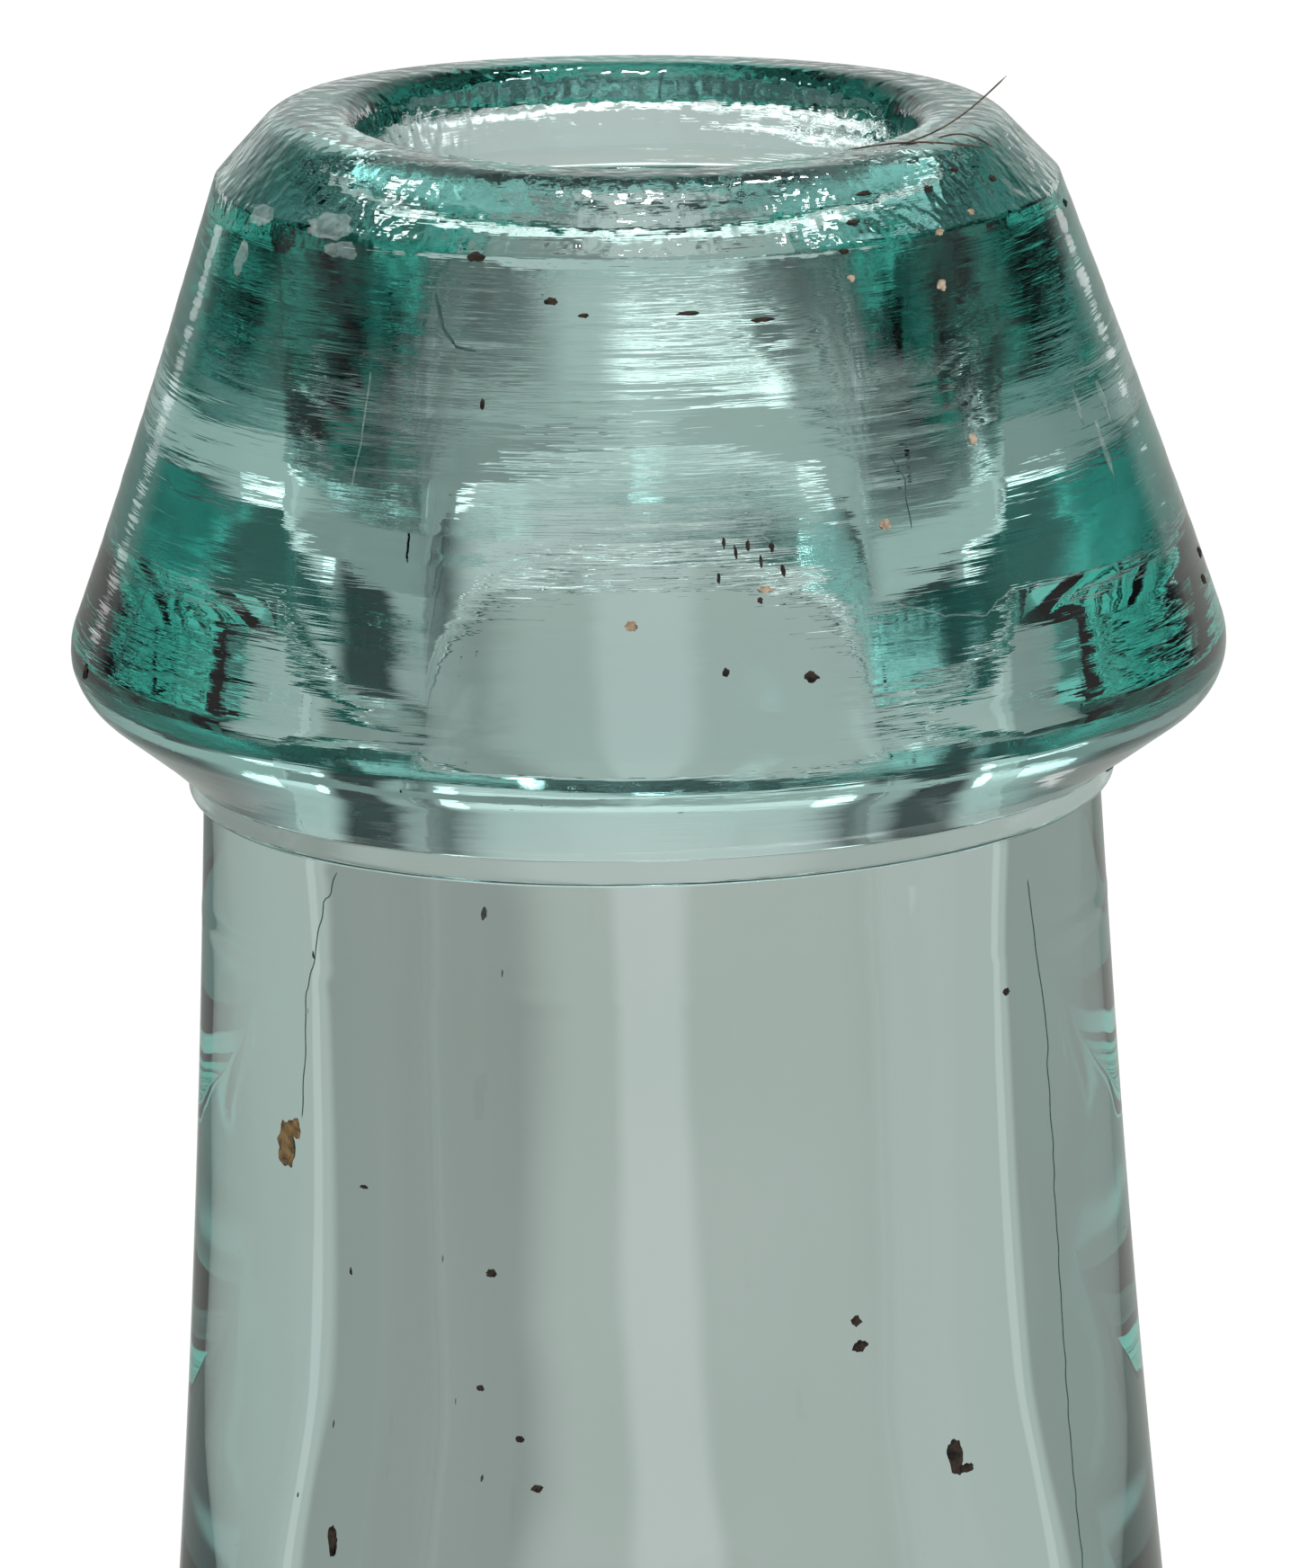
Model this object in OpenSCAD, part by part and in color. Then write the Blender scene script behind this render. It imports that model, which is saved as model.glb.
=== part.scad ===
// Antique glass bottle of the soda-water kind: a mould-blown body with a
// separately applied, hand-tooled tapered collar round the top of its neck.
// Millimetres, +Z up. The origin is the centre of the plane the bottle stands on.

/* [Bottle] */
// Height from the standing plane to the crest of the lip
total_h = 186; // [170:1:230]
// Diameter of the cylindrical part of the body
body_d = 64; // [60:1:72]
// Thickness of the body's wall
body_wall = 4; // [3:0.5:5]
// Height at which the body's cylinder turns into the shoulder
shoulder_z = 92; // [80:1:96]
// Radius of the shoulder's convex curve
shoulder_r = 24; // [20:1:26]

/* [Neck] */
// Diameter of the neck just under the collar
neck_top_d = 28; // [27:0.1:29]
// Diameter of the neck where it starts to spread into the shoulder
neck_low_d = 31.1; // [30.5:0.1:34]
// Length of neck between those two
neck_l = 25.5; // [20:0.5:30]
// Widening of the neck per millimetre just under the collar
neck_slope = 0.04; // [0.03:0.001:0.06]

/* [Mouth] */
// Diameter of the corked bore
bore_d = 15.1; // [14:0.1:16]
// Length of the bore that stays cylindrical, below the mouth's flare
bore_l = 10; // [6:0.5:14]
// Diameter of the bore where the neck starts to spread
bore_low_d = 16.6; // [16.2:0.1:19]
// Depth below the crest at which the bore starts to flare towards the mouth
flare_depth = 8; // [6:0.5:9]
// Radius of the flare's long curve
flare_round = 26; // [24:1:40]
// Radius that rounds the edge of the mouth
mouth_round = 1; // [0.6:0.1:1.3]

/* [Collar] */
// Greatest diameter of the collar
collar_d = 36; // [34:0.1:38]
// Depth of that greatest diameter below the crest
collar_wide_depth = 16.7; // [15:0.1:17]
// Radius that rounds the collar's lower edge
collar_round = 2.1; // [1.6:0.1:2.6]
// Diameter of the crest, where its top starts to turn down
crest_d = 21; // [20.4:0.1:21.4]
// Radius that rounds the outside of the crest
crest_round = 1.5; // [1:0.1:1.8]
// Diameter at the corner between the bevelled top and the cone
bevel_d = 26.2; // [25.6:0.1:27]
// Depth of that corner below the crest
bevel_depth = 2.1; // [1.9:0.1:2.6]
// Depth of the collar's underside below the crest, at the sleeve
collar_h = 20.4; // [20:0.1:21]
// Thickness of the thin sleeve of glass that ran down the neck
sleeve_t = 0.45; // [0.3:0.05:0.7]
// Length of that sleeve below the collar
sleeve_l = 0.9; // [0.8:0.1:2]

/* [Base] */
// Radius of the outer curve between the body and the base
heel_r = 6; // [4:0.5:7]
// Radius of the curve inside the heel
heel_inner_r = 8; // [6:0.5:10]
// Height of the push-up under the base
pushup_h = 6; // [4:0.5:9]
// Radius where the push-up would meet the standing plane
pushup_r = 21; // [19:0.5:22]
// Radius that rounds the inner edge of the standing ring
ring_round = 1.5; // [1:0.1:2]
// Thickness of the base over the push-up
base_t = 6; // [5:0.5:9]

/* [Hidden] */

$fn = 128;

// Steps in each arc of an outline
ARC_STEPS = 14;
// Steps in each slow curve of the neck
NECK_STEPS = 8;

GLASS = [0.55, 0.69, 0.66, 0.75];
LIP_GLASS = [0.42, 0.62, 0.58, 0.8];

body_r = body_d / 2;
neck_top_r = neck_top_d / 2;
neck_low_r = neck_low_d / 2;
bore_r = bore_d / 2;
bore_low_r = bore_low_d / 2;
collar_r = collar_d / 2;
crest_r = crest_d / 2;
bevel_r = bevel_d / 2;
sleeve_r = neck_top_r + sleeve_t;

// Heights, from the standing plane
junction_z = total_h - collar_h - sleeve_l;
neck_low_z = junction_z - neck_l;
bore_low_z = neck_low_z;
bore_top_z = total_h - flare_depth;
bore_end_z = bore_top_z - bore_l;

// The collar laps over the neck's cut end, and the neck narrows inside the collar
lap_t = 3.2;
neck_end_z = total_h - lap_t;
neck_end_r = 12;

// Points on the circle of radius r round c, from angle a0 to angle a1
function arc(c, r, a0, a1, steps = ARC_STEPS) =
    [for (i = [0:steps]) let (a = a0 + (a1 - a0) * i / steps) c + r * [cos(a), sin(a)]];

function angle_of(v) = atan2(v[1], v[0]);

// Angle of the normal at which the line from p touches the circle of radius r round c.
// side is 1 where the normal lies a quarter turn past the way from p, -1 where before it
function touch_angle(p, c, r, side) =
    angle_of(c - p) + side * (asin(r / norm(c - p)) + 90);

// The concave arc that leaves p, leaning slope degrees from upright, and runs smoothly
// into the convex arc of radius r round c. Its radius, and then its points from below
function ogee_radius(p, slope, c, r) =
    let (d = p - c, n = [cos(slope), sin(slope)])
    (d * d - r * r) / (2 * (r - d * n));
function ogee(p, slope, c, r) =
    let (
        big = ogee_radius(p, slope, c, r),
        centre = p + big * [cos(slope), sin(slope)],
        join = angle_of(centre - c)
    )
    concat(arc(c, r, 0, join), arc(centre, big, join + 180, slope + 180));

// Radius of the neck's outside, and of its bore, at height z
neck_curve = (neck_low_r - neck_top_r - neck_slope * neck_l) / (neck_l * neck_l);
function neck_r(z) =
    let (s = junction_z - z) neck_top_r + neck_slope * s + neck_curve * s * s;
function neck_lean() = atan(neck_slope + 2 * neck_curve * neck_l);

spread_l = bore_end_z - bore_low_z;
spread_curve = (bore_low_r - bore_r) / (spread_l * spread_l);
function spread_r(z) = let (s = bore_end_z - z) bore_r + spread_curve * s * s;
function spread_lean() = atan(2 * spread_curve * spread_l);

// The mouth's flare, an arc that leaves the bore upright, and how far it turns before
// the rounded edge takes over. The edge's arc touches the flare and the crest
flare_c = [bore_r + flare_round, bore_top_z];
flare_turn = asin((flare_depth - mouth_round) / (flare_round - mouth_round));
lap_turn = asin((neck_end_z - bore_top_z) / flare_round);
mouth_c = flare_c + (flare_round - mouth_round) * [-cos(flare_turn), sin(flare_turn)];

// The push-up is part of a ball, and so is the floor of the cavity over it
pushup_ball = (pushup_r * pushup_r + pushup_h * pushup_h) / (2 * pushup_h);
pushup_c = [0, pushup_h - pushup_ball];
floor_ball = pushup_ball + base_t;

ring_lift = ring_round - pushup_c[1];
ring_c = [sqrt(pow(pushup_ball + ring_round, 2) - ring_lift * ring_lift), ring_round];
ring_join = angle_of(ring_c - pushup_c);

heel_inner_x = body_r - body_wall - heel_inner_r;
heel_inner_c = [
    heel_inner_x,
    pushup_c[1] + sqrt(pow(floor_ball + heel_inner_r, 2) - heel_inner_x * heel_inner_x)
];
heel_inner_join = angle_of(heel_inner_c - pushup_c);

// The same points, less each one that repeats the one before it
function joined(list) =
    [for (i = [0:len(list) - 1]) if (i == 0 || norm(list[i] - list[i - 1]) > 1e-6) list[i]];

// Outside of the body, from the middle of the push-up to the neck's cut end
function body_outside() = concat(
    arc(pushup_c, pushup_ball, 90, ring_join),
    arc(ring_c, ring_round, ring_join - 180, -90, 6),
    arc([body_r - heel_r, heel_r], heel_r, -90, 0),
    ogee([neck_low_r, neck_low_z], neck_lean(), [body_r - shoulder_r, shoulder_z], shoulder_r),
    [for (i = [1:NECK_STEPS]) let (z = neck_low_z + neck_l * i / NECK_STEPS) [neck_r(z), z]],
    [[neck_end_r, neck_end_z]]
);

// Inside of the body, from the middle of the cavity's floor to the top of the bore
function body_inside() = concat(
    arc(pushup_c, floor_ball, 90, heel_inner_join),
    arc(heel_inner_c, heel_inner_r, heel_inner_join - 180, 0),
    ogee(
        [bore_low_r, bore_low_z],
        spread_lean(),
        [body_r - shoulder_r, shoulder_z - body_wall / 2],
        shoulder_r - body_wall
    ),
    [for (i = [1:NECK_STEPS]) let (z = bore_low_z + spread_l * i / NECK_STEPS) [spread_r(z), z]],
    arc(flare_c, flare_round, 180, 180 - lap_turn, 6)
);

function reversed(list) = [for (i = [len(list) - 1:-1:0]) list[i]];

module bottle_body() {
    color(GLASS)
        rotate_extrude()
            polygon(joined(concat(body_outside(), reversed(body_inside()))));
}

// Section of the applied glass, once round it from the neck's cut end
function lip_section() =
    let (
        corner = [bevel_r, total_h - bevel_depth],
        crest_c = [crest_r, total_h - crest_round],
        wide_c = [collar_r - collar_round, total_h - collar_wide_depth],
        root = [sleeve_r, total_h - collar_h],
        crest_end = touch_angle(corner, crest_c, crest_round, -1),
        cone_end = touch_angle(corner, wide_c, collar_round, 1),
        under_end = touch_angle(root, wide_c, collar_round, -1)
    )
    concat(
        arc(flare_c, flare_round, 180 - lap_turn, 180 - flare_turn, 6),
        arc(mouth_c, mouth_round, 180 - flare_turn, 90),
        arc(crest_c, crest_round, 90, crest_end),
        [corner],
        arc(wide_c, collar_round, cone_end, under_end),
        [root],
        arc([sleeve_r - sleeve_t, junction_z + sleeve_t], sleeve_t, 0, -90, 6),
        [[neck_end_r, neck_end_z]]
    );

module applied_lip() {
    color(LIP_GLASS)
        rotate_extrude()
            polygon(joined(lip_section()));
}

bottle_body();
applied_lip();
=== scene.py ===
import math
import random

import bmesh
import bpy
from mathutils import Matrix, Vector, noise
from mathutils.bvhtree import BVHTree


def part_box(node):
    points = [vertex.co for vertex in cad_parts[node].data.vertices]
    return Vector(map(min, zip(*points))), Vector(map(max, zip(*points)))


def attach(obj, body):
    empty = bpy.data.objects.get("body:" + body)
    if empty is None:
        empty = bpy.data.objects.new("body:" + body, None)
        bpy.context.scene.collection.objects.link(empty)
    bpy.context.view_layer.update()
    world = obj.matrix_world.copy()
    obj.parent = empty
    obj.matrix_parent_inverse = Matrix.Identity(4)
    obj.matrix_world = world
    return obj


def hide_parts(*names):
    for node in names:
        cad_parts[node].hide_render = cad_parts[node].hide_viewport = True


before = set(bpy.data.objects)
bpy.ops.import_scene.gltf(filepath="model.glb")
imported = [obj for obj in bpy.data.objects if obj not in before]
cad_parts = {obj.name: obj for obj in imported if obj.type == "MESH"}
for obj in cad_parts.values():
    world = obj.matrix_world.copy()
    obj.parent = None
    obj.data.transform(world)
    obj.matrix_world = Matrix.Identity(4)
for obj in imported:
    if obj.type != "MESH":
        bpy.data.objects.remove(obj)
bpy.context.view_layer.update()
BODY_LOW, BODY_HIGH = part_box("bottle_body")
LIP_LOW, LIP_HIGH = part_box("applied_lip")

MM = 0.001

# ---------------------------------------------------------------- sizes, in mm
TOP = LIP_HIGH.z / MM
COLLAR_R = LIP_HIGH.x / MM
BODY_R = BODY_HIGH.x / MM
NECK_END = BODY_HIGH.z / MM
JUNCTION = LIP_LOW.z / MM

BORE_R = 7.55
BORE_L = 10.0
BORE_LOW_R = 8.3
FLARE_DEPTH = 8.0
FLARE_ROUND = 26.0
MOUTH_ROUND = 1.0
CREST_R = 10.5
CREST_ROUND = 1.5
BEVEL_R = 13.1
BEVEL_DEPTH = 2.1
WIDE_DEPTH = 16.7
COLLAR_ROUND = 2.1
COLLAR_H = 20.4
SLEEVE_T = 0.45
NECK_END_R = 12.0
NECK_TOP_R = 14.0
NECK_LOW_R = 15.55
NECK_L = 25.5
NECK_SLOPE = 0.04
BODY_WALL = 4.0
SHOULDER_Z = 92.0
SHOULDER_R = 24.0
HEEL_R = 6.0
HEEL_INNER_R = 8.0
PUSHUP_H = 6.0
PUSHUP_R = 21.0
RING_ROUND = 1.5
BASE_T = 6.0
# How far the applied glass reaches into the neck's glass, so that no air lies between
LAP = 0.03

NECK_LOW = JUNCTION - NECK_L
FLARE_Z = TOP - FLARE_DEPTH
BORE_END = FLARE_Z - BORE_L

# ---------------------------------------------------------------- unevenness, in mm
# How far the rim dips to the right, to the back, and away from its left and right sides
RIM_TILT = 0.25
RIM_BACK = 0.09
RIM_SADDLE = 0.11
RIM_FADE = 8.0
RIM_R = 12.0
# How far the collar's lower edge hangs down on the right, and where: depth, spread and radii
EDGE_SAG = 0.23
EDGE_DEPTH = 17.5
EDGE_SPREAD = 3.0
EDGE_SKIN = (14.4, 15.6)
EDGE_R = 18.0
# How much the bore wavers, and how much it tightens in the neck, between which depths
BORE_WAVE = 0.14
BORE_TIGHT = 0.4
BORE_TIGHT_START = (19.0, 27.0)
BORE_TIGHT_END = (40.0, 48.0)
# Radii over which the bore's unevenness fades out, and the outer skin's fades in
BORE_SKIN = (9.3, 11.5)
OUTER_SKIN = (13.2, 13.9)
OUTER_WAVE = 0.02
# Height, depth and spread of the faint ring round the neck below the collar
NECK_RING = 0.02
NECK_RING_DEPTH = 24.9
NECK_RING_SPREAD = 0.22
# Depth and height of the marks that the lipping tool left, and where they fade in
STROKE = 0.014
STROKE_H = 0.6
STROKE_DEPTHS = (19.5, 18.5)
STROKE_SKIN = (11.5, 13.5)

# Steps round each turned mesh
BODY_SEGMENTS = 256
LIP_SEGMENTS = 384


# ---------------------------------------------------------------- outlines
def arc(centre, r, a0, a1, step):
    """Points on an arc, from angle a0 to a1 in degrees, about step mm apart."""
    count = max(2, int(abs(math.radians(a1 - a0)) * r / step))
    turns = [math.radians(a0 + (a1 - a0) * i / count) for i in range(count + 1)]
    return [(centre[0] + r * math.cos(t), centre[1] + r * math.sin(t)) for t in turns]


def line(p, q, step):
    count = max(1, int(math.dist(p, q) / step))
    return [(p[0] + (q[0] - p[0]) * i / count, p[1] + (q[1] - p[1]) * i / count) for i in range(count + 1)]


def angle_of(p, q):
    return math.degrees(math.atan2(q[1] - p[1], q[0] - p[0]))


def touch_angle(p, c, r, side):
    """Angle of the normal where the line from p touches the circle of radius r round c."""
    return angle_of(p, c) + side * (math.degrees(math.asin(r / math.dist(p, c))) + 90)


def ogee(p, slope, c, r, step):
    """The convex arc round c, then the concave one that ends at p, leaning slope degrees."""
    n = (math.cos(math.radians(slope)), math.sin(math.radians(slope)))
    d = (p[0] - c[0], p[1] - c[1])
    along = d[0] * n[0] + d[1] * n[1]
    big = (d[0] ** 2 + d[1] ** 2 - r * r) / (2 * (r - along))
    centre = (p[0] + big * n[0], p[1] + big * n[1])
    join = angle_of(c, centre)
    return arc(c, r, 0, join, step) + arc(centre, big, join + 180, slope + 180, step)


def neck_r(z):
    s = JUNCTION - z
    curve = (NECK_LOW_R - NECK_TOP_R - NECK_SLOPE * NECK_L) / NECK_L**2
    return NECK_TOP_R + NECK_SLOPE * s + curve * s * s


def spread_r(z):
    s = BORE_END - z
    return BORE_R + (BORE_LOW_R - BORE_R) * (s / (BORE_END - NECK_LOW)) ** 2


def flare(z0, z1, step):
    """The bore's flare between two heights."""
    centre = (BORE_R + FLARE_ROUND, FLARE_Z)
    turns = [180 - math.degrees(math.asin((z - FLARE_Z) / FLARE_ROUND)) for z in (z0, z1)]
    return arc(centre, FLARE_ROUND, turns[0], turns[1], step)


def upward(radius_at, z0, z1, step):
    count = max(1, int((z1 - z0) / step))
    return [(radius_at(z0 + (z1 - z0) * i / count), z0 + (z1 - z0) * i / count) for i in range(count + 1)]


def joined(runs):
    """One list of points from several, each point marked with its run's fused flag."""
    points, fused = [], []
    for run, flag in runs:
        for p in run:
            if points and math.dist(p, points[-1]) < 1e-6:
                continue
            points.append(p)
            fused.append(flag)
    return points, fused


def body_outline():
    ball = (PUSHUP_R**2 + PUSHUP_H**2) / (2 * PUSHUP_H)
    ball_c = (0.0, PUSHUP_H - ball)
    lift = RING_ROUND - ball_c[1]
    ring_c = (math.sqrt((ball + RING_ROUND) ** 2 - lift**2), RING_ROUND)
    ring_join = angle_of(ball_c, ring_c)
    floor_ball = ball + BASE_T
    inner_x = BODY_R - BODY_WALL - HEEL_INNER_R
    inner_c = (inner_x, ball_c[1] + math.sqrt((floor_ball + HEEL_INNER_R) ** 2 - inner_x**2))
    inner_join = angle_of(ball_c, inner_c)
    curve = (NECK_LOW_R - NECK_TOP_R - NECK_SLOPE * NECK_L) / NECK_L**2
    neck_lean = math.degrees(math.atan(NECK_SLOPE + 2 * curve * NECK_L))
    spread_lean = math.degrees(math.atan(2 * (BORE_LOW_R - BORE_R) / (BORE_END - NECK_LOW)))
    shoulder_c = (BODY_R - SHOULDER_R, SHOULDER_Z)
    inner_shoulder_c = (BODY_R - SHOULDER_R, SHOULDER_Z - BODY_WALL / 2)
    mouth = flare(FLARE_Z, NECK_END, 0.35)
    outside = [
        (arc(ball_c, ball, 90, ring_join, 1.0), 0),
        (arc(ring_c, RING_ROUND, ring_join - 180, -90, 0.3), 0),
        (line((ring_c[0], 0), (BODY_R - HEEL_R, 0), 1.0), 0),
        (arc((BODY_R - HEEL_R, HEEL_R), HEEL_R, -90, 0, 0.6), 0),
        (line((BODY_R, HEEL_R), (BODY_R, SHOULDER_Z), 1.0), 0),
        (ogee((NECK_LOW_R, NECK_LOW), neck_lean, shoulder_c, SHOULDER_R, 0.7), 0),
        (upward(neck_r, NECK_LOW, JUNCTION, 0.25), 0),
        (line((NECK_TOP_R, JUNCTION), (NECK_END_R, NECK_END), 1.0), 1),
        (line((NECK_END_R, NECK_END), mouth[-1], 1.0), 1),
    ]
    inner_r = BODY_R - BODY_WALL
    inside = [
        (arc(ball_c, floor_ball, 90, inner_join, 1.0), 0),
        (arc(inner_c, HEEL_INNER_R, inner_join - 180, 0, 0.6), 0),
        (line((inner_r, inner_c[1]), (inner_r, inner_shoulder_c[1]), 1.0), 0),
        (ogee((BORE_LOW_R, NECK_LOW), spread_lean, inner_shoulder_c, SHOULDER_R - BODY_WALL, 0.7), 0),
        (upward(spread_r, NECK_LOW, BORE_END, 0.35), 0),
        (line((BORE_R, BORE_END), (BORE_R, FLARE_Z), 0.35), 0),
        (mouth, 0),
    ]
    points, fused = joined(outside)
    inner, inner_fused = joined(inside)
    return points + inner[::-1][1:], fused + inner_fused[::-1][1:]


def lip_outline():
    corner = (BEVEL_R, TOP - BEVEL_DEPTH)
    crest_c = (CREST_R, TOP - CREST_ROUND)
    wide_c = (COLLAR_R - COLLAR_ROUND, TOP - WIDE_DEPTH)
    root = (NECK_TOP_R + SLEEVE_T, TOP - COLLAR_H)
    crest_end = touch_angle(corner, crest_c, CREST_ROUND, -1)
    cone_end = touch_angle(corner, wide_c, COLLAR_ROUND, 1)
    under_end = touch_angle(root, wide_c, COLLAR_ROUND, -1)
    turn = math.asin((FLARE_DEPTH - MOUTH_ROUND) / (FLARE_ROUND - MOUTH_ROUND))
    mouth_c = (BORE_R + FLARE_ROUND - (FLARE_ROUND - MOUTH_ROUND) * math.cos(turn), TOP - MOUTH_ROUND)
    bore = flare(NECK_END - LAP, FLARE_Z + FLARE_ROUND * math.sin(turn), 0.2)
    mouth = arc(mouth_c, MOUTH_ROUND, 180 - math.degrees(turn), 90, 0.12)
    crest = arc(crest_c, CREST_ROUND, 90, crest_end, 0.12)
    wide = arc(wide_c, COLLAR_ROUND, cone_end, under_end, 0.1)
    tail = arc((NECK_TOP_R, JUNCTION + SLEEVE_T), SLEEVE_T, 0, -90, 0.08)
    inner_end = (NECK_END_R - LAP, NECK_END - LAP)
    return joined(
        [
            (bore, 0),
            (mouth, 0),
            (line(mouth[-1], crest[0], 0.15), 0),
            (crest, 0),
            (line(crest[-1], corner, 0.15), 0),
            (line(corner, wide[0], 0.1), 0),
            (wide, 0),
            (line(wide[-1], root, 0.15), 0),
            (line(root, tail[0], 0.1), 0),
            (tail, 0),
            (line((NECK_TOP_R - LAP, JUNCTION), inner_end, 1.0), 1),
            (line(inner_end, bore[0], 1.0), 1),
        ]
    )


# ---------------------------------------------------------------- hand-made unevenness
def smooth(value, low, high):
    t = min(1.0, max(0.0, (value - low) / (high - low)))
    return t * t * (3 - 2 * t)


def strokes(cx, cy, z):
    """Height of the tool's marks, long round the collar and short up it."""
    broad = noise.noise(Vector((cx * 2.2 + 3, cy * 2.2, z / STROKE_H)))
    narrow = noise.noise(Vector((cx * 5 - 9, cy * 5, z / STROKE_H * 2.1)))
    return broad + 0.5 * narrow


def uneven(p):
    """Where a point of the true turned shape, in mm, lies on the hand-made glass."""
    x, y, z = p
    r = math.hypot(x, y)
    if r < 1e-6:
        return p
    at_rim = smooth(z, TOP - RIM_FADE, TOP)
    dz = at_rim * (-RIM_TILT * x / RIM_R - RIM_BACK * y / RIM_R + RIM_SADDLE * (x * x - y * y) / (r * r))
    at_edge = math.exp(-(((z - TOP + EDGE_DEPTH) / EDGE_SPREAD) ** 2)) * smooth(r, *EDGE_SKIN)
    dz -= at_edge * EDGE_SAG * x / EDGE_R
    in_bore = smooth(z, NECK_LOW - 20, NECK_LOW) * (1 - smooth(r, *BORE_SKIN))
    tight = BORE_TIGHT * smooth(TOP - z, *BORE_TIGHT_START)
    tight *= 1 - smooth(TOP - z, *BORE_TIGHT_END)
    cx, cy = x / r, y / r
    wave = in_bore * (-tight + BORE_WAVE * noise.noise(Vector((cx * 1.1, cy * 1.1, z / 17 + 3))))
    outside = smooth(r, *OUTER_SKIN)
    wave += noise.noise(Vector((cx * 2.1 + 7, cy * 2.1, z / 14))) * OUTER_WAVE * outside
    off_ring = (TOP - z - NECK_RING_DEPTH) / NECK_RING_SPREAD
    wave += NECK_RING * math.exp(-(off_ring**2)) * outside
    low, high = (TOP - depth for depth in STROKE_DEPTHS)
    on_collar = smooth(z, low, high) * smooth(r, *STROKE_SKIN)
    wave += STROKE * on_collar * strokes(cx, cy, z)
    scale = 1 + wave / r
    return (x * scale, y * scale, z + dz)


# ---------------------------------------------------------------- meshes
def lathe(name, outline, segments, closed):
    """A turned mesh, made uneven. Its faces carry how fused they are, for the glass."""
    points, fused = outline
    me = bpy.data.meshes.new(name)
    bm = bmesh.new()
    layer = bm.faces.layers.float.new("fused")
    angles = [2 * math.pi * k / segments for k in range(segments)]
    turns = [(math.cos(a), math.sin(a)) for a in angles]
    rings = []
    for r, z in points:
        if r < 1e-6:
            rings.append([bm.verts.new((0, 0, z * MM))])
            continue
        rings.append([bm.verts.new(Vector(uneven((r * c, r * s, z))) * MM) for c, s in turns])
    last = len(rings) if closed else len(rings) - 1
    for i in range(last):
        a, b = rings[i], rings[(i + 1) % len(rings)]
        for k in range(segments):
            n = (k + 1) % segments
            if len(a) == 1:
                corners = (a[0], b[n], b[k])
            elif len(b) == 1:
                corners = (a[k], a[n], b[0])
            else:
                corners = (a[k], a[n], b[n], b[k])
            face = bm.faces.new(corners)
            face.smooth = True
            face[layer] = fused[i]
    bmesh.ops.recalc_face_normals(bm, faces=bm.faces)
    bm.to_mesh(me)
    bm.free()
    ob = bpy.data.objects.new(name, me)
    bpy.context.scene.collection.objects.link(ob)
    return ob


# ---------------------------------------------------------------- node trees
class Tree:
    """A node tree, with short ways to add and link nodes."""

    def __init__(self, owner):
        owner.use_nodes = True
        self.nt = owner.node_tree
        self.nt.nodes.clear()

    def put(self, socket, value):
        if isinstance(value, bpy.types.NodeSocket):
            self.nt.links.new(value, socket)
        elif isinstance(value, tuple) and len(socket.default_value) == 4:
            socket.default_value = (*value[:3], 1)
        else:
            socket.default_value = value

    def add(self, kind, inputs=None, **settings):
        node = self.nt.nodes.new("ShaderNode" + kind)
        for key, value in settings.items():
            setattr(node, key, value)
        for key, value in (inputs or {}).items():
            self.put(node.inputs[key], value)
        return node

    def math(self, operation, a, b=0.0, clamp=False):
        return self.add("Math", {0: a, 1: b}, operation=operation, use_clamp=clamp).outputs[0]

    def mix(self, factor, a, b):
        return self.add("Mix", {"Factor": factor, 6: a, 7: b}, data_type="RGBA").outputs[2]

    def blend(self, factor, a, b):
        return self.add("Mix", {"Factor": factor, 2: a, 3: b}).outputs[0]

    def ramp(self, value, low, high):
        node = self.add("MapRange", {"Value": value, "From Min": low, "From Max": high})
        node.interpolation_type = "SMOOTHSTEP"
        return node.outputs["Result"]

    def noise(self, scale, detail=2.0, rough=0.5, stretch=(1, 1, 1), shift=(0, 0, 0)):
        place = self.add("TexCoord").outputs["Object"]
        mapped = self.add("Mapping", {"Vector": place, "Location": shift, "Scale": stretch})
        inputs = {"Vector": mapped.outputs[0], "Scale": scale, "Detail": detail, "Roughness": rough}
        return self.add("TexNoise", inputs).outputs["Fac"]


# ---------------------------------------------------------------- materials
BUMP = 0.00002
GLASS_IOR = 1.52
BODY_TINT = (0.7, 0.96, 0.933)
BODY_DENSITY = 30.0
LIP_TINT = (0.15, 0.88, 0.84)
LIP_DENSITY = 40.0


def tooled_height(t):
    """Fine bump of the collar: the tool's strokes, and pits on the bevel and crest."""
    up = t.add("SeparateXYZ", {0: t.add("TexCoord").outputs["Object"]}).outputs["Z"]
    strokes = t.noise(1.0, 3.0, 0.6, stretch=(150, 150, 3600))
    patchy = t.ramp(t.noise(120.0, 2.0, shift=(2, 5, 1)), 0.35, 0.65)
    pits = t.noise(1900.0, 1.0, 0.4, stretch=(1, 1, 0.7))
    on_top = t.ramp(up, (TOP - 2.7) * MM, (TOP - 2.0) * MM)
    fine = t.math("MULTIPLY", strokes, t.math("ADD", patchy, 0.25))
    return t.math("ADD", fine, t.math("MULTIPLY", t.math("MULTIPLY", pits, on_top), 3.0))


def even_height(t):
    """Gentle ripple of glass that only the mould has touched."""
    return t.noise(160.0, 2.0, 0.5, stretch=(1, 1, 0.6))


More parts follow.
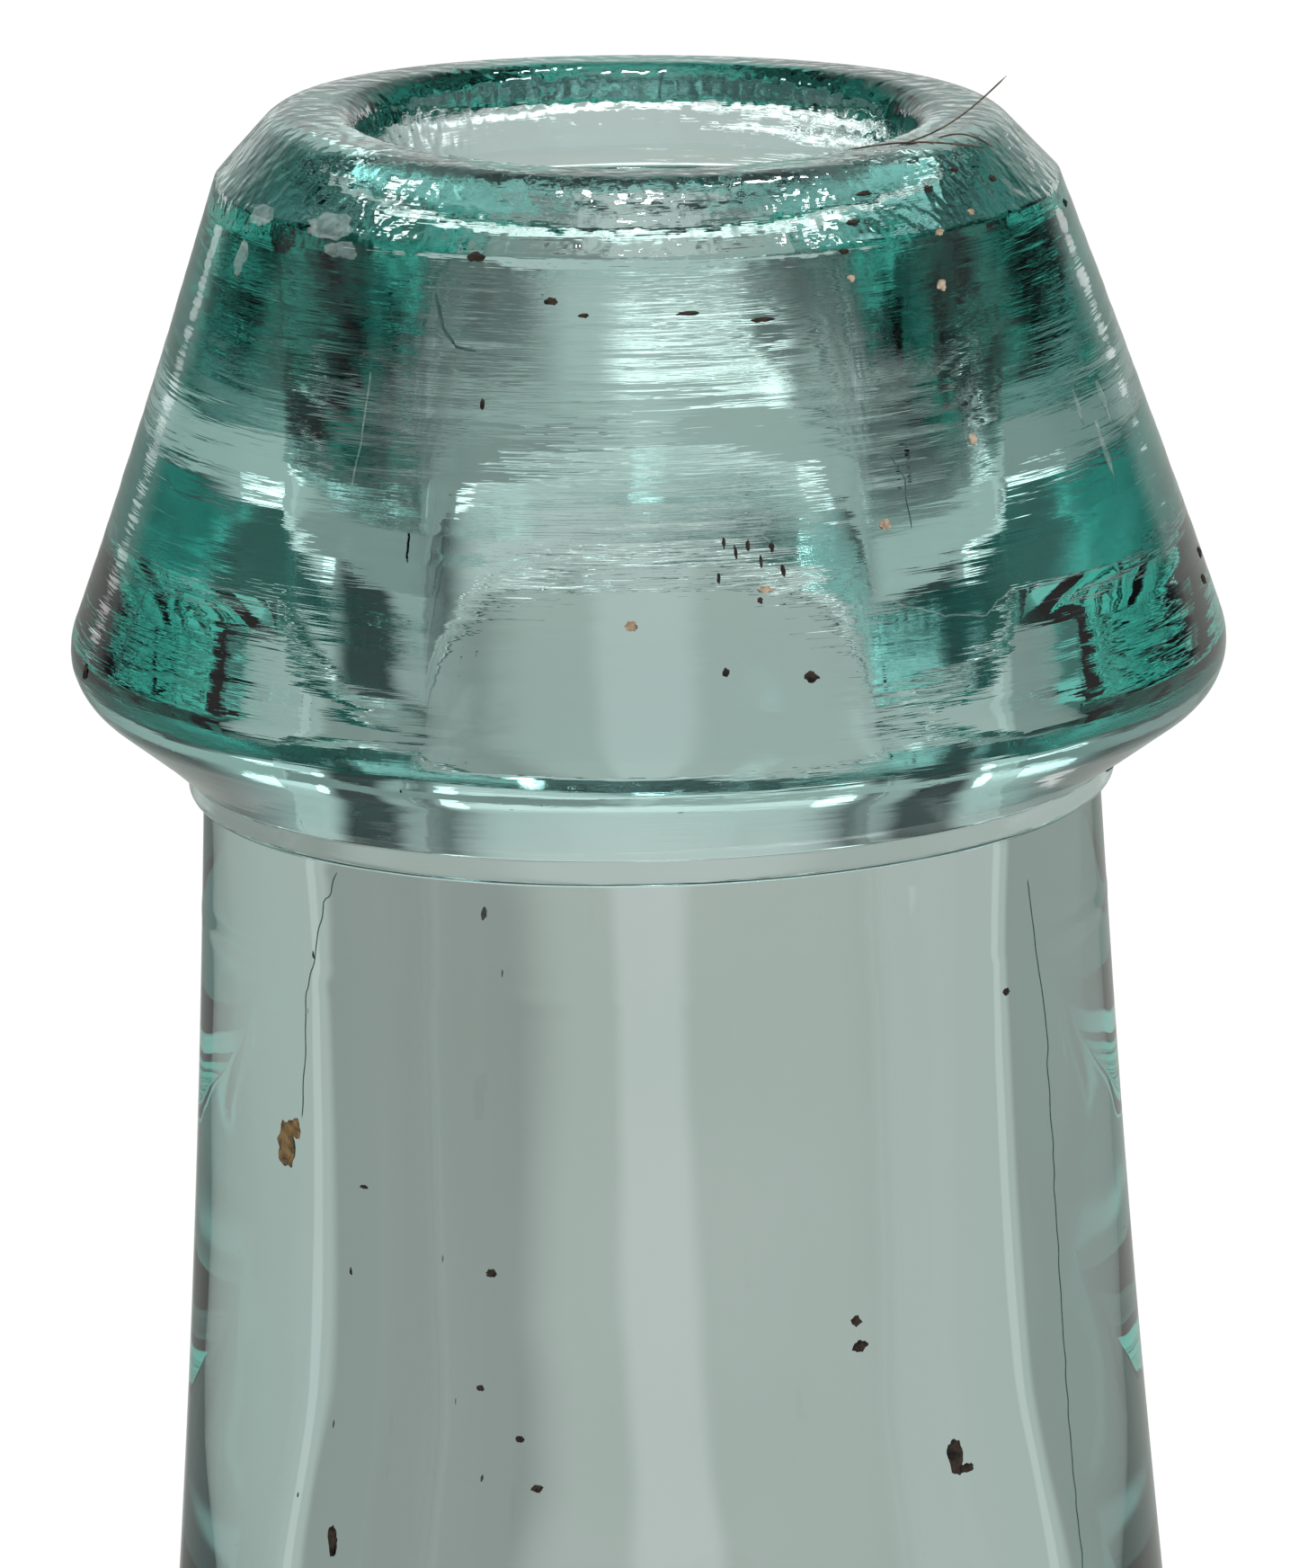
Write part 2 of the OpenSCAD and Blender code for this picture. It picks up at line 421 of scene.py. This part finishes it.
def glass(name, absorb, density, height):
    """Clear glass that tints by its thickness. Where faces are fused, it does not bend light."""
    mat = bpy.data.materials.new(name)
    t = Tree(mat)
    film = t.ramp(t.noise(55.0, 4.0, 0.6, shift=(1, 2, 3)), 0.35, 0.75)
    colour = t.mix(film, (1.0, 1.0, 1.0), (0.95, 0.965, 0.955))
    haze = t.ramp(t.noise(240.0, 3.0, 0.6), 0.5, 0.8)
    inputs = {"Base Color": colour, "Roughness": t.math("MULTIPLY", haze, 0.02), "IOR": GLASS_IOR}
    shader = t.add("BsdfPrincipled", inputs)
    shader.inputs["Transmission Weight"].default_value = 1.0
    fused = t.add("Attribute", attribute_name="fused").outputs["Fac"]
    ior = t.add("MapRange", {"Value": fused, "To Min": GLASS_IOR, "To Max": 1.0})
    t.put(shader.inputs["IOR"], ior.outputs["Result"])
    bump = t.add("Bump", {"Strength": 1.0, "Distance": BUMP, "Height": height(t)})
    t.put(shader.inputs["Normal"], bump.outputs["Normal"])
    volume = t.add("VolumeAbsorption", {"Color": absorb, "Density": density})
    t.add("OutputMaterial", {"Surface": shader.outputs[0], "Volume": volume.outputs[0]})
    return mat


def dull(name, dark, light, alpha):
    """Dirt, or a film or fracture of the glass's skin."""
    mat = bpy.data.materials.new(name)
    t = Tree(mat)
    mottle = t.noise(3500.0, 3.0, 0.6)
    colour = t.mix(t.ramp(mottle, 0.3, 0.7), dark, light)
    rough = t.blend(mottle, 0.5, 0.95)
    bump = t.add("Bump", {"Strength": 0.6, "Distance": BUMP, "Height": t.noise(6000.0, 2.0)})
    inputs = {"Base Color": colour, "Roughness": rough, "Normal": bump.outputs["Normal"], "Alpha": alpha}
    shader = t.add("BsdfPrincipled", inputs)
    t.add("OutputMaterial", {"Surface": shader.outputs[0]})
    return mat


# ---------------------------------------------------------------- the two gathers of glass
def skin(ob):
    """What a ray hits on a piece, for laying things on it."""
    places = [v.co for v in ob.data.vertices]
    return BVHTree.FromPolygons(places, [p.vertices[:] for p in ob.data.polygons])


def blown_body():
    body = lathe("bottle_glass", body_outline(), BODY_SEGMENTS, False)
    body.data.materials.append(glass("body_glass", BODY_TINT, BODY_DENSITY, even_height))
    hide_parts("bottle_body")
    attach(body, "root")
    return skin(body)


def tooled_lip():
    lip = lathe("lip_glass", lip_outline(), LIP_SEGMENTS, True)
    lip.data.materials.append(glass("lip_glass", LIP_TINT, LIP_DENSITY, tooled_height))
    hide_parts("applied_lip")
    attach(lip, "root")
    return skin(lip)


# ---------------------------------------------------------------- wear and dirt
# Azimuth in degrees from the front, depth under the rim, width and height in mm
DARK_GRIT = [
    (-21, 33.4, 0.30, 0.22),
    (-22.5, 37, 0.22, 0.18),
    (-17.5, 38.5, 0.26, 0.20),
    (-15.5, 40, 0.34, 0.24),
    (-43, 42.5, 0.34, 0.95),
    (23.5, 35.2, 0.30, 0.30),
    (23.8, 36, 0.42, 0.34),
    (36, 40, 0.55, 1.05),
    (37.5, 40.4, 0.5, 0.3),
    (49, 26, 0.24, 0.22),
    (-39, 31.2, 0.3, 0.1),
    (7.7, 14, 0.2, 0.24),
    (16.3, 14.3, 0.42, 0.3),
    (11.8, 12, 0.18, 0.18),
    (-22, 2.1, 0.55, 0.26),
    (-11.5, 3.3, 0.36, 0.22),
    (-7.2, 3.7, 0.3, 0.12),
    (5.9, 3.7, 0.7, 0.12),
    (15.4, 4, 0.6, 0.14),
    (-19.4, 6.3, 0.12, 0.34),
    (-75, 16.3, 0.3, 0.5),
    (8.4, 10.3, 0.1, 0.3),
    (9.6, 10.6, 0.1, 0.4),
    (11, 10.4, 0.12, 0.3),
    (12.3, 10.9, 0.1, 0.34),
    (13.6, 10.5, 0.14, 0.3),
    (14.6, 11.2, 0.12, 0.36),
    (7.6, 11.3, 0.1, 0.3),
    (81, 2.8, 0.36, 0.24),
    (86, 14.1, 0.5, 0.4),
    (82, 14.7, 0.4, 0.3),
    (70, 20, 0.4, 0.3),
    (31, 1.6, 0.42, 0.2),
    (28, 2.3, 0.36, 0.16),
    (35, 0.9, 0.5, 0.16),
    (47, 1.1, 0.4, 0.2),
    (55, 0.8, 0.34, 0.2),
    (62, 1.3, 0.4, 0.22),
]
PALE_GRIT = [
    (-1.7, 12.6, 0.34, 0.26),
    (27, 10.2, 0.34, 0.3),
    (41, 8.2, 0.3, 0.36),
    (42, 3.7, 0.34, 0.36),
    (28.4, 3.1, 0.24, 0.24),
    (12.5, 11.7, 0.44, 0.2),
    (44, 2.2, 0.3, 0.2),
    (52, 1.9, 0.26, 0.22),
]
STAIN = [(-52.7, 30.5, 0.8, 1.25), (-51.2, 29.9, 0.5, 0.6)]
FROST = [
    (-46, 1.7, 1.7, 0.8),
    (-43, 2.3, 1.2, 0.5),
    (-61, 1.8, 1.2, 0.7),
    (-64, 3.2, 0.7, 1.2),
    (68, 8.2, 0.4, 1.6),
    (64, 9.6, 0.3, 1.8),
    (61, 8.1, 0.2, 1.2),
]
# Scratches: points on the skin as azimuth and depth
SCRATCHES = [
    [(5, 9.2), (9, 9.7), (12.5, 10.1), (14.5, 10.6)],
    [(9, 9.7), (10.5, 9.4)],
    [(12.5, 10.1), (14, 9.8)],
    [(15.5, 10.7), (17.5, 11.2), (20.5, 11.3)],
    [(23, 11.8), (27, 12.5), (32, 13), (37, 13.2), (41.5, 12.6)],
    [(-35, 5.6), (-34.6, 7.5), (-34.9, 9)],
]
HAIRLINES = [
    [(54.8, 22.8), (55.6, 25), (57, 27.2), (56.7, 31), (56.2, 36), (56, 41), (56.6, 47)],
    [(-43.5, 21.6), (-46, 22.6), (-47, 23.6), (-49.2, 25.5), (-49.8, 29.5)],
    [(29, 8.2), (30.5, 9), (30, 10.4)],
    [(-64, 12.6), (-66, 14.4), (-66.5, 16.2)],
]
FLAKE = [(-27.2, 3.2), (-25.5, 4.2), (-23.5, 4.7), (-20.8, 4.8)]
# Hairs caught on the rim: start and end from the middle of the rim, and sag, in mm
FIBRES = [
    ((7.9, -6.4, -0.1), (11.4, -2.6, 1.3), -0.35),
    ((6.4, -7.6, 0.05), (10.6, -5.4, -0.4), 0.2),
    ((9.2, -5.2, -0.1), (10.9, -4.9, -0.5), 0.25),
]
# Thickness of each kind of grain and film, in mm
GRIT_THICK = 0.12
PALE_THICK = 0.14
SCATTER_THICK = 0.1
STAIN_THICK = 0.06
FROST_THICK = 0.04
# Radius of each kind of line, and how far it wanders from its row's points, in mm
SCRATCH_R = 0.03
SCRATCH_WANDER = 0.1
HAIRLINE_R = 0.022
HAIRLINE_WANDER = 0.12
FLAKE_R = 0.05
# Steps along each hair, and its radius in mm
FIBRE_STEPS = 16
FIBRE_R = 0.03
# Sides of each thin tube, and how much thinner its ends are
TUBE_SIDES = 6
TUBE_TIP = 0.25
# Grains on the rest of the bottle, and the seed that places them
SCATTER = 90
SCATTER_SEED = 7


def on_skin(trees, azimuth, depth):
    """The point of the glass at an azimuth and a depth under the rim, and its normal."""
    turn = math.radians(azimuth)
    out = Vector((math.sin(turn), -math.cos(turn), 0))
    start = out * 0.08 + Vector((0, 0, (TOP - depth) * MM))
    hits = [tree.ray_cast(start, -out) for tree in trees]
    place, normal, _, _ = min((h for h in hits if h[0]), key=lambda h: h[3])
    if normal.dot(out) < 0:
        normal = -normal
    return place, normal


def lump(bm, place, normal, width, height, thick, seed):
    """A small ragged grain or film that lies on the glass."""
    across = Vector((0, 0, 1)).cross(normal).normalized()
    up = normal.cross(across)
    made = bmesh.ops.create_icosphere(bm, subdivisions=3, radius=1.0)
    for v in made["verts"]:
        p = v.co.copy()
        broad = 0.55 * noise.noise(p * 1.3 + Vector((seed, 0, 0)))
        fine = 0.3 * noise.noise(p * 3.1 + Vector((0, seed, 0)))
        p *= (1 + broad + fine) * MM / 2
        v.co = place + across * (p.x * width) + up * (p.y * height) + normal * (p.z * thick)


def tube(bm, points, radius):
    """A thin tube through points, pointed at both ends."""
    rings = []
    last = len(points) - 1
    for i, p in enumerate(points):
        along = (points[min(i + 1, last)] - points[max(i - 1, 0)]).normalized()
        side = along.orthogonal().normalized()
        other = along.cross(side)
        r = radius * MM * (TUBE_TIP if i in (0, last) else 1.0)
        turns = [math.radians(360 / TUBE_SIDES * k) for k in range(TUBE_SIDES)]
        rings.append([bm.verts.new(p + (side * math.cos(a) + other * math.sin(a)) * r) for a in turns])
    for a, b in zip(rings, rings[1:]):
        for k in range(TUBE_SIDES):
            n = (k + 1) % TUBE_SIDES
            bm.faces.new((a[k], a[n], b[n], b[k]))
    bm.faces.new(rings[0][::-1])
    bm.faces.new(rings[-1])


def piece(name, bm, material):
    """An object made of the bmesh, which is freed."""
    me = bpy.data.meshes.new(name)
    bmesh.ops.recalc_face_normals(bm, faces=bm.faces)
    for face in bm.faces:
        face.smooth = True
    bm.to_mesh(me)
    bm.free()
    me.materials.append(material)
    ob = bpy.data.objects.new(name, me)
    bpy.context.scene.collection.objects.link(ob)
    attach(ob, "root")


def lumps(name, trees, rows, thick, material):
    bm = bmesh.new()
    for i, (azimuth, depth, width, height) in enumerate(rows):
        place, normal = on_skin(trees, azimuth, depth)
        lump(bm, place, normal, width, height, thick, i * 1.7)
    piece(name, bm, material)


def smooth_path(trees, corners, wander):
    """Points on the skin along rows of azimuth and depth, wandering a little."""
    points = []
    for (a0, d0), (a1, d1) in zip(corners, corners[1:]):
        steps = max(3, int(math.hypot((a1 - a0) * 0.25, d1 - d0) / 0.15))
        for i in range(steps + (1 if (a1, d1) == corners[-1] else 0)):
            t = i / steps
            azimuth, depth = a0 + (a1 - a0) * t, d0 + (d1 - d0) * t
            shake = noise.noise(Vector((azimuth * 0.7, depth * 1.3, 4.0))) * wander
            place, _ = on_skin(trees, azimuth + shake * 3, depth + shake)
            points.append(place)
    return points


def lines(name, trees, rows, radius, wander, material):
    bm = bmesh.new()
    for corners in rows:
        tube(bm, smooth_path(trees, corners, wander), radius)
    piece(name, bm, material)


def scattered():
    """Grains over the parts of the bottle that the rows above leave bare."""
    rng = random.Random(SCATTER_SEED)
    rows = []
    while len(rows) < SCATTER:
        azimuth = rng.uniform(-180, 180)
        depth = rng.uniform(1.5, TOP - 8)
        size = rng.uniform(0.12, 0.4)
        shape = rng.uniform(0.6, 1.5)
        if abs(azimuth) > 95 or depth > 46:
            rows.append((azimuth, depth, size * shape, size / shape))
    return rows


def fibres():
    """Hairs caught on the rim, each a tube that sags between its ends."""
    bm = bmesh.new()
    for start, end, sag in FIBRES:
        along = [k / FIBRE_STEPS for k in range(FIBRE_STEPS + 1)]
        path = [Vector(start).lerp(Vector(end), t) for t in along]
        bend = [Vector((0, 0, sag * math.sin(t * math.pi))) for t in along]
        lifted = Vector((0, 0, TOP))
        tube(bm, [(p + b + lifted) * MM for p, b in zip(path, bend)], FIBRE_R)
    piece("fibres", bm, dull("fibre", (0.05, 0.03, 0.02), (0.16, 0.11, 0.07), 1.0))


def wear(trees):
    """Everything that lies on the glass, or is scratched or cracked into its skin."""
    dark = dull("dark_grit", (0.012, 0.008, 0.006), (0.06, 0.035, 0.02), 1.0)
    pale = dull("pale_grit", (0.35, 0.22, 0.12), (0.62, 0.55, 0.42), 1.0)
    stain = dull("stain", (0.10, 0.05, 0.012), (0.28, 0.17, 0.05), 0.85)
    frost = dull("frost", (0.35, 0.50, 0.47), (0.75, 0.86, 0.84), 0.2)
    crack = dull("crack", (0.03, 0.09, 0.08), (0.06, 0.15, 0.13), 0.9)
    lumps("grit_dark", trees, DARK_GRIT, GRIT_THICK, dark)
    lumps("grit_pale", trees, PALE_GRIT, PALE_THICK, pale)
    lumps("grit_scattered", trees, scattered(), SCATTER_THICK, dark)
    lumps("stain", trees, STAIN, STAIN_THICK, stain)
    lumps("frosted_bruises", trees, FROST, FROST_THICK, frost)
    lines("scratches", trees, SCRATCHES, SCRATCH_R, SCRATCH_WANDER, frost)
    lines("hairlines", trees, HAIRLINES, HAIRLINE_R, HAIRLINE_WANDER, crack)
    lines("flake", trees, [FLAKE], FLAKE_R, 0.0, crack)
    fibres()


# ---------------------------------------------------------------- camera
# Place in mm, tilt and roll in degrees, lens in mm
CAM_DIST = 430.0
CAM_RISE = 80.1
CAM_X = -0.072
CAM_TILT = 13.28
CAM_ROLL = -1.34
CAM_LENS = 324.6


def camera():
    data = bpy.data.cameras.new("camera")
    data.lens = CAM_LENS
    data.sensor_width = 36.0
    data.sensor_fit = "AUTO"
    data.clip_start = 0.05
    data.clip_end = 100.0
    ob = bpy.data.objects.new("camera", data)
    place = Vector((CAM_X, -CAM_DIST, TOP + CAM_RISE)) * MM
    turn = Matrix.Rotation(math.radians(90 - CAM_TILT), 4, "X")
    roll = Matrix.Rotation(math.radians(CAM_ROLL), 4, "Z")
    ob.matrix_world = Matrix.Translation(place) @ turn @ roll
    bpy.context.scene.collection.objects.link(ob)
    bpy.context.scene.camera = ob


# ---------------------------------------------------------------- studio
# The camera sees a plain white studio, and dull surfaces are lit softly and evenly. Rays that
# the glass reflects or bends see a dark room instead, with a backdrop, painted light and shade glowing on
# the floor, and lamps
STUDIO_WHITE = (1.0, 1.0, 1.0)
AMBIENT = 0.8
DARK_ROOM_AND_PAINTED_SHADE = (0.05, 0.055, 0.055)
SIDE_WALL = (0.40, 0.41, 0.40)
CEILING = (0.6, 0.6, 0.6)
BACKDROP = (0.66, 0.68, 0.66)
BACKDROP_LOW = (0.95, 0.97, 0.95)
BACKDROP_HIGH = (0.42, 0.44, 0.42)
# Where each part of the room fades in, along a unit direction's own axes
WALL_SIDE = (0.9, 0.97)
WALL_TOP = (0.5, 0.3)
BACKDROP_SIDE = (0.7, 0.93)
BACKDROP_TOP = (0.68, 0.5)
BACKDROP_LOW_EDGE = (0.14, 0.05)
BACKDROP_HIGH_EDGE = (0.3, 0.42)
CEILING_EDGE = (0.9, 0.98)

FLOOR_R = 12.0
FLOOR_PALE = (0.93, 0.93, 0.93)
# Painted light and shade that only the glass sees on the floor: a painted shadow under the bottle, a
# painted grey glow behind it, a painted light strip and a painted bright spot behind it, painted shade
# before it
PAINTED_SHADOW_UNDER = (0.15, 0.155, 0.15)
PAINTED_FLOOR_GLOW = (0.45, 0.475, 0.45)
PAINTED_LIGHT_STRIP = (0.56, 0.58, 0.56)
PAINTED_LIGHT_SPOT = (1.6, 1.62, 1.58)
PAINTED_SHADE_NEAR = (0.26, 0.27, 0.26)
# Where each painted zone fades in, in metres from the bottle's middle
PAINTED_FLOOR_GLOW_EDGE = (0.18, 0.26)
LEFT_EDGE = (-0.08, -0.16)
LEFT_SHADE = 0.4
PAINTED_LIGHT_STRIP_EDGE = (0.045, 0.025)
PAINTED_SPOT_X = 0.03
PAINTED_SPOT_SIDE = (0.052, 0.036)
PAINTED_SPOT_START = (0.207, 0.225)
PAINTED_SPOT_END = (0.268, 0.256)
PAINTED_SHADE_NEAR_EDGE = (0.2, 0.3)
# Where the painted shade of the near side starts, as the sine of the turn from sideways to behind
PAINTED_SHADE_NEAR_SIDE = (0.2, -0.05)

# Lamps that only the glass shows: azimuth from behind, elevation, half width in degrees, radiance
LAMPS = [
    (29, 9, 6.0, 1.1),
    (-32, 8, 5.0, 0.95),
    (180, 86, 4.0, 40.0),
    (100, 60, 3.5, 18.0),
    (-75, 55, 3.0, 16.0),
    (30, 65, 3.5, 26.0),
]
LAMP_FAR = 2.0

# The soft light's power, and its spread, tilt and lean in degrees
KEY_POWER = 1.2
KEY_SPREAD = 50
KEY_TILT = -25
KEY_LEAN = -22


def bent_ray(t):
    """1 for rays that the glass has reflected or bent, and 0 for others."""
    path = t.add("LightPath")
    return t.math("MAXIMUM", path.outputs["Is Glossy Ray"], path.outputs["Is Transmission Ray"])


def room_colour(t):
    """The room round the glass, by direction."""
    way = t.add("SeparateXYZ", {0: t.add("TexCoord").outputs["Generated"]})
    across = t.math("ABSOLUTE", way.outputs["X"])
    up = way.outputs["Z"]
    wall = t.math("MULTIPLY", t.ramp(across, *WALL_SIDE), t.ramp(up, *WALL_TOP))
    seen = t.mix(wall, DARK_ROOM_AND_PAINTED_SHADE, SIDE_WALL)
    sheet = t.mix(t.ramp(up, *BACKDROP_LOW_EDGE), BACKDROP, BACKDROP_LOW)
    sheet = t.mix(t.ramp(up, *BACKDROP_HIGH_EDGE), sheet, BACKDROP_HIGH)
    level = t.math("SQRT", t.math("SUBTRACT", 1.0, t.math("POWER", up, 2.0)))
    behind = t.ramp(t.math("DIVIDE", way.outputs["Y"], level), *BACKDROP_SIDE)
    seen = t.mix(t.math("MULTIPLY", behind, t.ramp(up, *BACKDROP_TOP)), seen, sheet)
    return t.mix(t.ramp(up, *CEILING_EDGE), seen, CEILING)


def studio_world():
    world = bpy.data.worlds.new("studio")
    bpy.context.scene.world = world
    t = Tree(world)
    camera_ray = t.add("LightPath").outputs["Is Camera Ray"]
    even = t.mix(camera_ray, (AMBIENT,) * 3, STUDIO_WHITE)
    colour = t.mix(bent_ray(t), even, room_colour(t))
    back = t.add("Background", {"Color": colour})
    t.add("OutputWorld", {"Surface": back.outputs[0]})


def studio_lamps():
    """Small round lamps that show in the glass and light nothing else."""
    for i, (azimuth, elevation, half, radiance) in enumerate(LAMPS):
        a, e = math.radians(azimuth), math.radians(elevation)
        way = Vector((math.sin(a) * math.cos(e), math.cos(a) * math.cos(e), math.sin(e)))
        data = bpy.data.lights.new("lamp_%d" % i, "AREA")
        data.shape = "DISK"
        radius = LAMP_FAR * math.tan(math.radians(half))
        data.size = 2 * radius
        data.energy = radiance * math.pi * math.pi * radius * radius
        ob = bpy.data.objects.new(data.name, data)
        turn = way.to_track_quat("Z", "Y").to_matrix().to_4x4()
        ob.matrix_world = Matrix.Translation(way * LAMP_FAR) @ turn
        ob.visible_camera = False
        ob.visible_diffuse = False
        bpy.context.scene.collection.objects.link(ob)


def studio_light():
    """One broad soft light for the dull surfaces."""
    data = bpy.data.lights.new("soft_key", "SUN")
    data.energy = KEY_POWER
    data.angle = math.radians(KEY_SPREAD)
    ob = bpy.data.objects.new("soft_key", data)
    ob.rotation_euler = (math.radians(KEY_TILT), math.radians(KEY_LEAN), 0)
    ob.visible_glossy = False
    ob.visible_transmission = False
    bpy.context.scene.collection.objects.link(ob)


def painted_floor_light_and_shade(t):
    """Painted light and shade on the floor round the glass, by place, given off as a glow."""
    spot = t.add("TexCoord").outputs["Object"]
    place = t.add("SeparateXYZ", {0: spot})
    x, y = place.outputs["X"], place.outputs["Y"]
    far = t.add("VectorMath", {0: spot}, operation="LENGTH").outputs["Value"]
    across = t.math("ABSOLUTE", x)
    # Painted shadow under the bottle, fading out to a painted grey glow of the floor farther away
    seen = t.mix(t.ramp(far, *PAINTED_FLOOR_GLOW_EDGE), PAINTED_SHADOW_UNDER, PAINTED_FLOOR_GLOW)
    # Painted shade on the floor's left side, towards the dark room's colour
    seen = t.mix(t.math("MULTIPLY", t.ramp(x, *LEFT_EDGE), LEFT_SHADE), seen, DARK_ROOM_AND_PAINTED_SHADE)
    # Painted light: a lighter strip on the floor straight behind the bottle
    seen = t.mix(t.ramp(across, *PAINTED_LIGHT_STRIP_EDGE), seen, PAINTED_LIGHT_STRIP)
    # Painted bright spot of light on the floor behind the bottle, which the glass shows as a highlight
    aside = t.math("ABSOLUTE", t.math("SUBTRACT", x, PAINTED_SPOT_X))
    band = t.math("MULTIPLY", t.ramp(y, *PAINTED_SPOT_START), t.ramp(y, *PAINTED_SPOT_END))
    seen = t.mix(t.math("MULTIPLY", t.ramp(aside, *PAINTED_SPOT_SIDE), band), seen, PAINTED_LIGHT_SPOT)
    # Painted shade on the floor before the bottle, darkest far off towards the room
    painted_near_shade = t.mix(t.ramp(far, *PAINTED_SHADE_NEAR_EDGE), DARK_ROOM_AND_PAINTED_SHADE, PAINTED_SHADE_NEAR)
    return t.mix(t.ramp(t.math("DIVIDE", y, far), *PAINTED_SHADE_NEAR_SIDE), seen, painted_near_shade)


def floor_material():
    mat = bpy.data.materials.new("floor")
    t = Tree(mat)
    plain = t.add("BsdfDiffuse", {"Color": FLOOR_PALE})
    # The glass sees the floor as a glow of painted light and shade; the camera and dull surfaces see it
    # plain and pale
    painted_glow = t.add("Emission", {"Color": painted_floor_light_and_shade(t)})
    surface = t.add("MixShader", {0: bent_ray(t), 1: plain.outputs[0], 2: painted_glow.outputs[0]})
    t.add("OutputMaterial", {"Surface": surface.outputs[0]})
    return mat


def studio_floor():
    me = bpy.data.meshes.new("floor")
    bm = bmesh.new()
    bmesh.ops.create_circle(bm, cap_ends=True, radius=FLOOR_R, segments=96)
    bm.to_mesh(me)
    bm.free()
    me.materials.append(floor_material())
    ob = bpy.data.objects.new("floor", me)
    bpy.context.scene.collection.objects.link(ob)


def render_settings():
    """Plain colours, and enough bounces for light that crosses the glass many times."""
    scene = bpy.context.scene
    scene.view_settings.view_transform = "Standard"
    scene.cycles.max_bounces = 32
    scene.cycles.transmission_bounces = 32
    scene.cycles.glossy_bounces = 16
    scene.cycles.transparent_max_bounces = 16


wear([blown_body(), tooled_lip()])
camera()
studio_world()
studio_light()
studio_lamps()
studio_floor()
render_settings()
